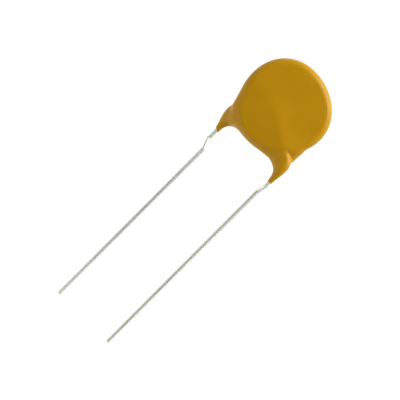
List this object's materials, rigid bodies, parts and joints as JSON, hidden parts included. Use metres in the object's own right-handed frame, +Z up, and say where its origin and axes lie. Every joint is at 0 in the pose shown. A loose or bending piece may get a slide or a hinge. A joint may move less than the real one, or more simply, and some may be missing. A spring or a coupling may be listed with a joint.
{
  "type": "ceramic disc capacitor",
  "caption": "Round epoxy-dipped ceramic disc with long parallel tinned wire leads; stores charge in an electronic circuit.",
  "frame": {"origin": "on the surface that the part lies on, under the middle of its bounding box", "axes": "+Z up, out of the front face; +Y from the lead tips to the disc; +X from the rear lead to the front lead"},
  "size_m": [0.014, 0.0494, 0.0041],
  "materials": {
    "epoxy": "glossy dipped ochre epoxy",
    "tinned_wire": "bright tinned copper wire",
    "solder": "satin tin solder",
    "silver_film": "matt fired silver",
    "ceramic": "matt fired titanate ceramic"
  },
  "bodies": {
    "root": {"ceramic_disc": "ceramic", "front_electrode": "silver_film", "rear_electrode": "silver_film", "front_solder": "solder", "rear_solder": "solder", "front_lead": "tinned_wire", "rear_lead": "tinned_wire", "epoxy_coating": "epoxy"}
  },
  "joints": []
}
